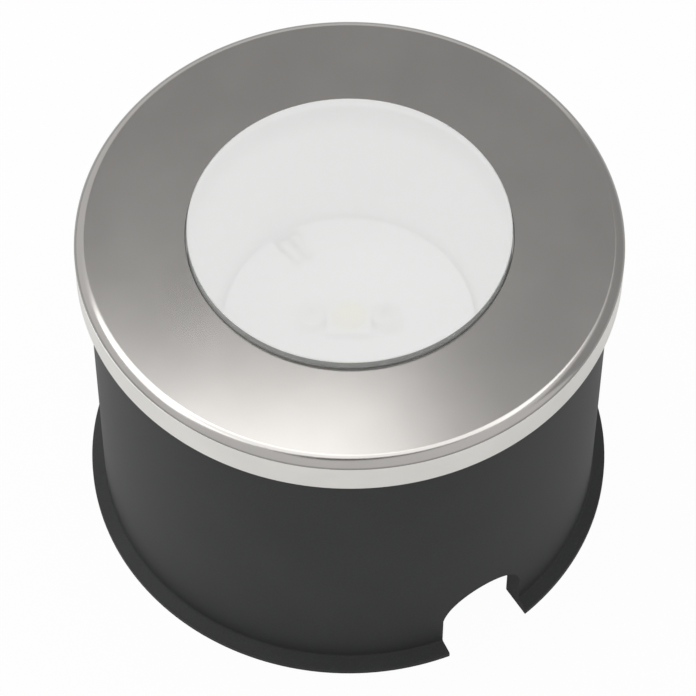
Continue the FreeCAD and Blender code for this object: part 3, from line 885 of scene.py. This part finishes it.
class WELL_OT_gland(bpy.types.Operator):
    """Dress the cable gland"""

    bl_idname = "well_light.gland"
    bl_label = "Cable gland"

    def execute(self, context):
        _, finish, _ = settings(context)
        nylon = moulded_black("gland_nylon", finish.nylon, grain_mm=0.25, roughness=0.45)
        rubber = black_rubber(finish.rubber)
        dress("gland_body", nylon)
        dress("gland_nut", nylon)
        dress("gland_washer", rubber)
        dress("gland_seal", rubber)
        return {"FINISHED"}


# The stage.

# How white the camera, metal and glass see the surroundings and the floor.
OPEN_WHITE = (1.0, 1.0, 1.0)
FLOOR_WHITE = (0.97, 0.3, 0.85)

# Name, turn from the camera's side and height in degrees, size in metres, brightness.
CARDS = (
    ("back_card", 180, 52, 0.56, 0.48),
    ("right_card", 115, 18, 1.0, 0.5),
    ("top_card", 0, 90, 0.5, 0.15),
)

# Name, left, right, near and far ends in metres, brightness.
SOFT_BOXES = (
    ("far_box", -0.28, 0.033, 0.05, 0.1495, 2.5),
    ("near_box", -0.28, 0.033, -0.06, 0.05, 1.9),
    ("right_box", 0.033, 0.15, -0.06, 0.09, 1.9),
)


def direction(azimuth, elevation):
    """A unit vector at a turn from -Y towards +X and a height above the horizon."""
    flat = math.cos(elevation)
    return Vector((math.sin(azimuth) * flat, -math.cos(azimuth) * flat, math.sin(elevation)))


def aim(obj, target):
    facing = (target - obj.location).to_track_quat("-Z", "Y")
    obj.rotation_euler = facing.to_euler()


def add_camera(stage):
    target = Vector((0.0, 0.0, stage.look_height))
    camera = bpy.data.objects.new("camera", bpy.data.cameras.new("camera"))
    camera.data.lens = stage.focal_length
    camera.data.sensor_width = SENSOR_WIDTH
    camera.data.shift_x = stage.sideways_shift
    camera.data.shift_y = stage.upward_shift
    camera.data.clip_start = stage.camera_clip
    camera.location = target + stage.distance * direction(stage.azimuth, stage.elevation)
    aim(camera, target)
    camera.rotation_euler.rotate_axis("Z", stage.roll)
    bpy.context.scene.collection.objects.link(camera)
    bpy.context.scene.camera = camera


def stage_point(turn, right, away, height):
    """A point of the studio: to the right of a line of sight and along it, in metres."""
    forward = -direction(turn, 0.0)
    sideways = Vector((forward.y, -forward.x, 0.0))
    return right * sideways + away * forward + Vector((0.0, 0.0, height))


def add_softbox(stage, name, left, right, near, far, brightness):
    """A soft box that lies flat over the light. A mirror shows about 0.8 of its brightness."""
    lamp = bpy.data.lights.new(name, "AREA")
    lamp.shape = "RECTANGLE"
    lamp.size = right - left
    lamp.size_y = far - near
    lamp.energy = brightness * math.pi * lamp.size * lamp.size_y
    box = bpy.data.objects.new(name, lamp)
    turn = stage.azimuth + stage.box_turn
    box.location = stage_point(turn, (left + right) / 2, (near + far) / 2, stage.box_height)
    box.rotation_euler = (0.0, 0.0, turn)
    bpy.context.scene.collection.objects.link(box)


def add_card(stage, name, turn, elevation, size, brightness):
    """A grey card, out of view, that the steel mirrors."""
    bm = bmesh.new()
    bmesh.ops.create_grid(bm, x_segments=1, y_segments=1, size=size / 2)
    toward = direction(stage.azimuth + math.radians(turn), math.radians(elevation))
    middle = stage.card_distance * toward
    facing = middle.to_track_quat("Z", "Y").to_matrix().to_4x4()
    bmesh.ops.transform(bm, matrix=Matrix.Translation(middle) @ facing, verts=list(bm.verts))
    card = as_object(name, bm)
    material, tree, surface = bare_material(name)
    grey = tree.nodes.new("ShaderNodeEmission")
    grey.inputs["Strength"].default_value = brightness
    tree.links.new(grey.outputs[0], surface)
    card.data.materials.append(material)
    card.visible_camera = False
    card.visible_diffuse = False
    card.visible_transmission = False


def seen_as_white(tree, plain, shares):
    """Mix a plain shader with white: a share each for what camera, metal and glass see."""
    path = tree.nodes.new("ShaderNodeLightPath")
    total = None
    for ray, share in zip(("Is Camera Ray", "Is Glossy Ray", "Is Transmission Ray"), shares):
        part = tree.nodes.new("ShaderNodeMath")
        part.operation = "MULTIPLY_ADD"
        tree.links.new(path.outputs[ray], part.inputs[0])
        part.inputs[1].default_value = share
        part.inputs[2].default_value = 0.0
        if total:
            tree.links.new(total, part.inputs[2])
        total = part.outputs[0]
    kind = "ShaderNodeBackground" if plain.type == "BACKGROUND" else "ShaderNodeEmission"
    white = tree.nodes.new(kind)
    mixed = tree.nodes.new("ShaderNodeMixShader")
    tree.links.new(total, mixed.inputs[0])
    tree.links.new(plain.outputs[0], mixed.inputs[1])
    tree.links.new(white.outputs[0], mixed.inputs[2])
    white.inputs["Color"].default_value = (1.0, 1.0, 1.0, 1.0)
    white.inputs["Strength"].default_value = 1.0
    return mixed


def add_surroundings(stage):
    world = bpy.data.worlds.new("surroundings")
    bpy.context.scene.world = world
    world.use_nodes = True
    tree = world.node_tree
    tree.nodes.clear()
    output = tree.nodes.new("ShaderNodeOutputWorld")
    plain = tree.nodes.new("ShaderNodeBackground")
    plain.inputs["Color"].default_value = (1.0, 1.0, 1.0, 1.0)
    plain.inputs["Strength"].default_value = stage.daylight
    mixed = seen_as_white(tree, plain, OPEN_WHITE)
    tree.links.new(mixed.outputs[0], output.inputs["Surface"])


def add_floor(stage):
    bm = bmesh.new()
    bmesh.ops.create_grid(bm, x_segments=1, y_segments=1, size=stage.floor_reach)
    bmesh.ops.translate(bm, verts=list(bm.verts), vec=(0.0, 0.0, -stage.floor_drop))
    floor = as_object("floor", bm)
    material, tree, surface = bare_material("floor")
    plain = tree.nodes.new("ShaderNodeBsdfDiffuse")
    plain.inputs["Color"].default_value = (*stage.floor, 1.0)
    mixed = seen_as_white(tree, plain, FLOOR_WHITE)
    tree.links.new(mixed.outputs[0], surface)
    floor.data.materials.append(material)


class WELL_OT_stage(bpy.types.Operator):
    """Set the camera, the floor, the surroundings and the soft boxes"""

    bl_idname = "well_light.stage"
    bl_label = "Studio stage"

    def execute(self, context):
        _, _, stage = settings(context)
        context.scene.view_settings.view_transform = "Standard"
        add_camera(stage)
        add_surroundings(stage)
        add_floor(stage)
        for card in CARDS:
            add_card(stage, *card)
        for box in SOFT_BOXES:
            add_softbox(stage, *box)
        return {"FINISHED"}


OPERATORS = (
    WELL_OT_stage,
    WELL_OT_sleeve,
    WELL_OT_rim,
    WELL_OT_cap,
    WELL_OT_glass,
    WELL_OT_reflector,
    WELL_OT_light_source,
    WELL_OT_housing,
    WELL_OT_driver,
    WELL_OT_gland,
)


class WELL_PT_pieces(bpy.types.Panel):
    """Lists the pieces of the well light and their settings"""

    bl_idname = "WELL_PT_pieces"
    bl_label = "Well light"
    bl_space_type = "VIEW_3D"
    bl_region_type = "UI"
    bl_category = "Well light"

    def draw(self, context):
        for operator in OPERATORS:
            self.layout.operator(operator.bl_idname)
        for group in settings(context):
            for name in group.bl_rna.properties.keys():
                if name not in ("rna_type", "name"):
                    self.layout.prop(group, name)


GROUPS = (WellLightShape, WellLightFinish, WellLightStage)


def register():
    for item in GROUPS + OPERATORS + (WELL_PT_pieces,):
        bpy.utils.register_class(item)
    bpy.types.Scene.well_light_shape = PointerProperty(type=WellLightShape)
    bpy.types.Scene.well_light_finish = PointerProperty(type=WellLightFinish)
    bpy.types.Scene.well_light_stage = PointerProperty(type=WellLightStage)


def unregister():
    del bpy.types.Scene.well_light_stage
    del bpy.types.Scene.well_light_finish
    del bpy.types.Scene.well_light_shape
    for item in reversed(GROUPS + OPERATORS + (WELL_PT_pieces,)):
        bpy.utils.unregister_class(item)


def main():
    register()
    for operator in OPERATORS:
        family, action = operator.bl_idname.split(".")
        getattr(getattr(bpy.ops, family), action)()


if __name__ == "__main__":
    main()
